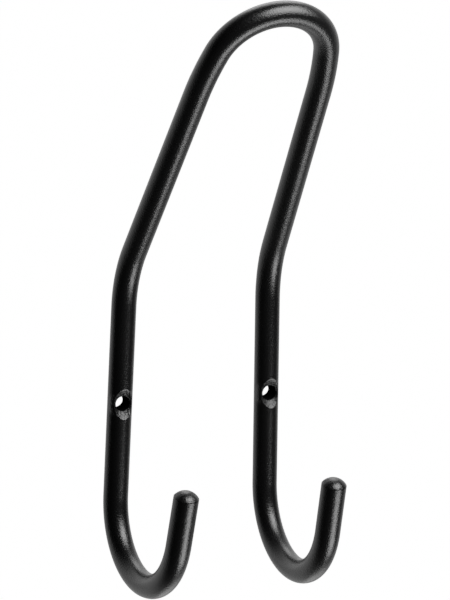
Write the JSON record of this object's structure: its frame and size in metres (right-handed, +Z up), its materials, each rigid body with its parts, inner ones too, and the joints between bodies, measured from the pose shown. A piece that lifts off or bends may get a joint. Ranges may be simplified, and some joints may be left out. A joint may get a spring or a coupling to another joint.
{
  "type": "double hat hook",
  "caption": "Wall hook bent from one round steel rod: a leaning arch for a hat above two coat hooks, with countersunk screw holes in its legs.",
  "frame": {"origin": "on the wall plane, midway between the axes of the two screw holes", "axes": "+Z up the wall, -Y straight out of the wall towards the user, +X to the right as the user faces the wall"},
  "size_m": [0.062, 0.0635, 0.1922],
  "materials": {
    "powder_coat": "black powder coat, semi-gloss with a fine grain, on round steel rod"
  },
  "bodies": {
    "root": {"hook_rod": "powder_coat"}
  },
  "joints": []
}
